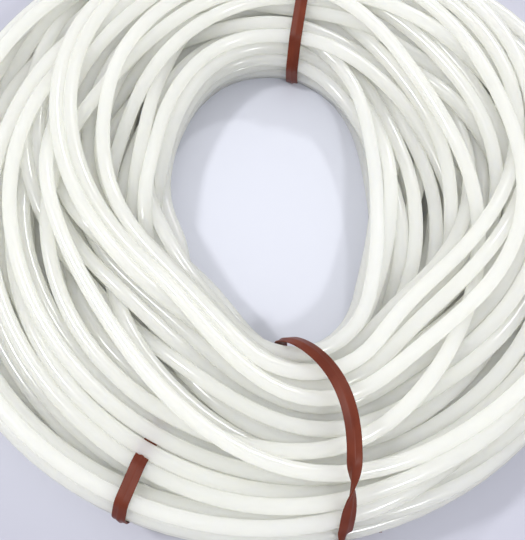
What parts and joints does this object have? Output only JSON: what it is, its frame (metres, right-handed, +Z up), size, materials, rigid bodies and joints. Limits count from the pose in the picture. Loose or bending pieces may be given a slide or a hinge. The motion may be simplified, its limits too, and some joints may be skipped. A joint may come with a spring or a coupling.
{
  "type": "silicone tubing coil",
  "caption": "Hand-wound coil of soft translucent silicone tubing, tied with flat brown straps, with two open cut ends.",
  "frame": {"origin": "on the floor, under the centre of the coil's round outline", "axes": "+Z up, the coil lying flat; -Y towards the slack front strap, +Y towards the two cut ends, +X to the right"},
  "size_m": [0.297, 0.3016, 0.0555],
  "materials": {
    "silicone": "milky translucent silicone, smooth and slightly glossy",
    "strap": "brown flat strap, satin"
  },
  "bodies": {
    "root": {"tubing_coil": "silicone", "outer_end": "silicone", "inner_end": "silicone", "strap_rear": "strap", "strap_front": "strap", "strap_left": "strap"}
  },
  "joints": []
}
